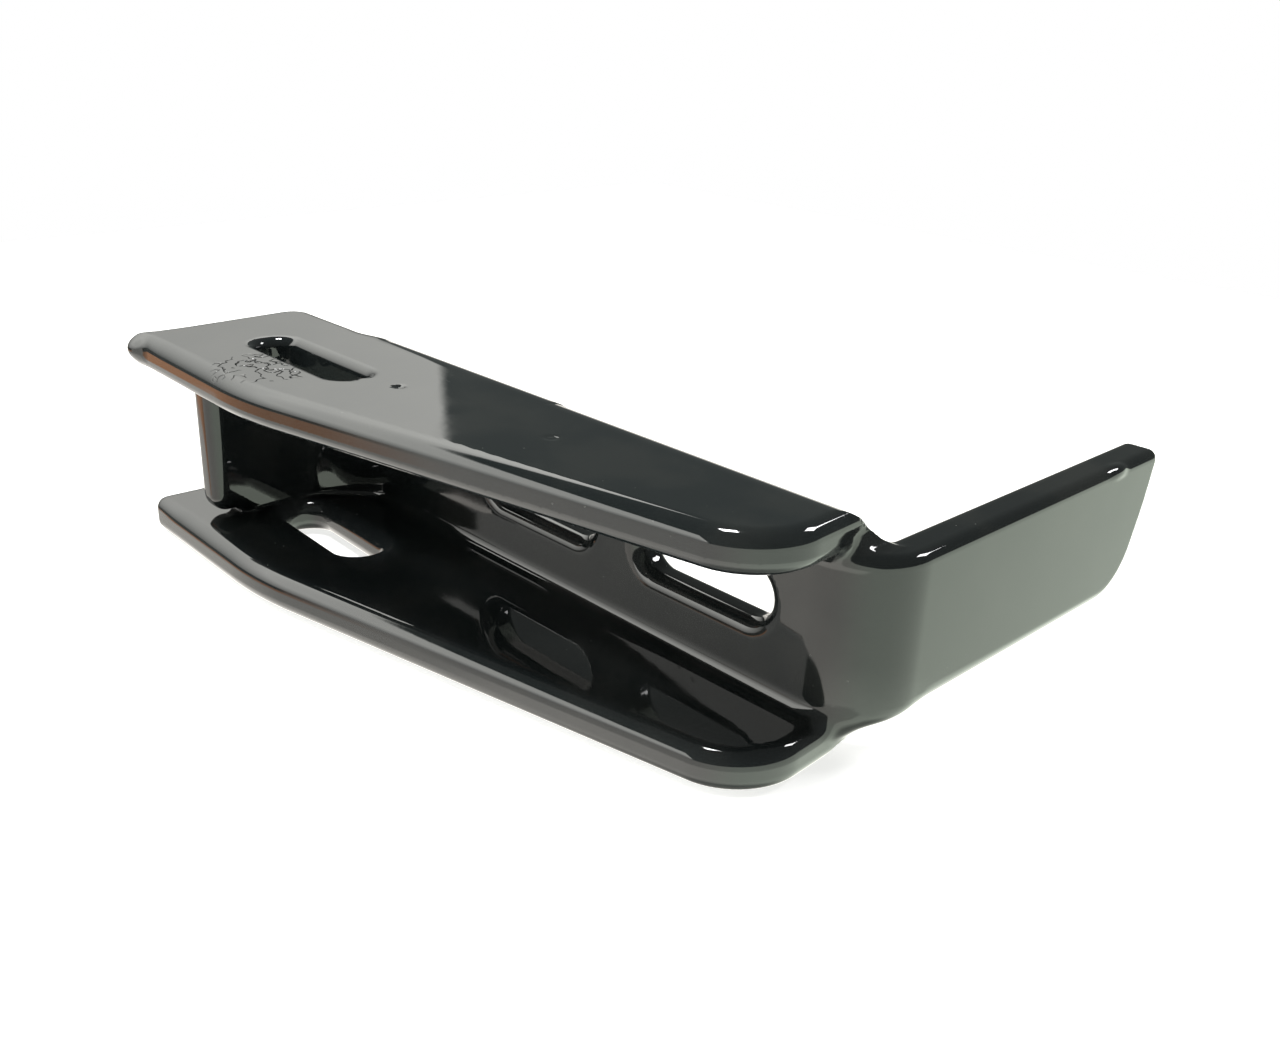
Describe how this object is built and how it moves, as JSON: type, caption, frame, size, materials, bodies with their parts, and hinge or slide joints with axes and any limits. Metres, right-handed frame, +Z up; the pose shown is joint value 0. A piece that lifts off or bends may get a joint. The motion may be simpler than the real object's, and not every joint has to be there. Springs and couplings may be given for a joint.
{
  "type": "ladder stabilizer bracket",
  "caption": "Welded steel bracket for a ladder stabilizer: a slotted channel with a stop tab at one end and a hook arm turned back at the other, in a thick black dipped coat.",
  "frame": {"origin": "under the middle of the bracket's outside box, on the plane that the lower flange lies on", "axes": "+X along the web towards the hook arm, +Y back in the direction that the arm points, +Z up through the two flanges"},
  "size_m": [0.1558, 0.123, 0.0418],
  "materials": {
    "bar_coat": "thick glossy black dipped coat over steel bar",
    "flange_coat": "thick glossy black dipped coat over steel plate",
    "weld_coat": "thick glossy black dipped coat over dressed weld"
  },
  "bodies": {
    "root": {"bent_bar": "bar_coat", "lower_flange": "flange_coat", "upper_flange": "flange_coat", "weld_back_lower_1": "weld_coat", "weld_back_lower_2": "weld_coat", "weld_back_upper_1": "weld_coat", "weld_back_upper_2": "weld_coat", "weld_corner_lower": "weld_coat", "weld_corner_upper": "weld_coat", "weld_end_lower": "weld_coat", "weld_end_upper": "weld_coat", "weld_tab_lower": "weld_coat", "weld_tab_upper": "weld_coat"}
  },
  "joints": []
}
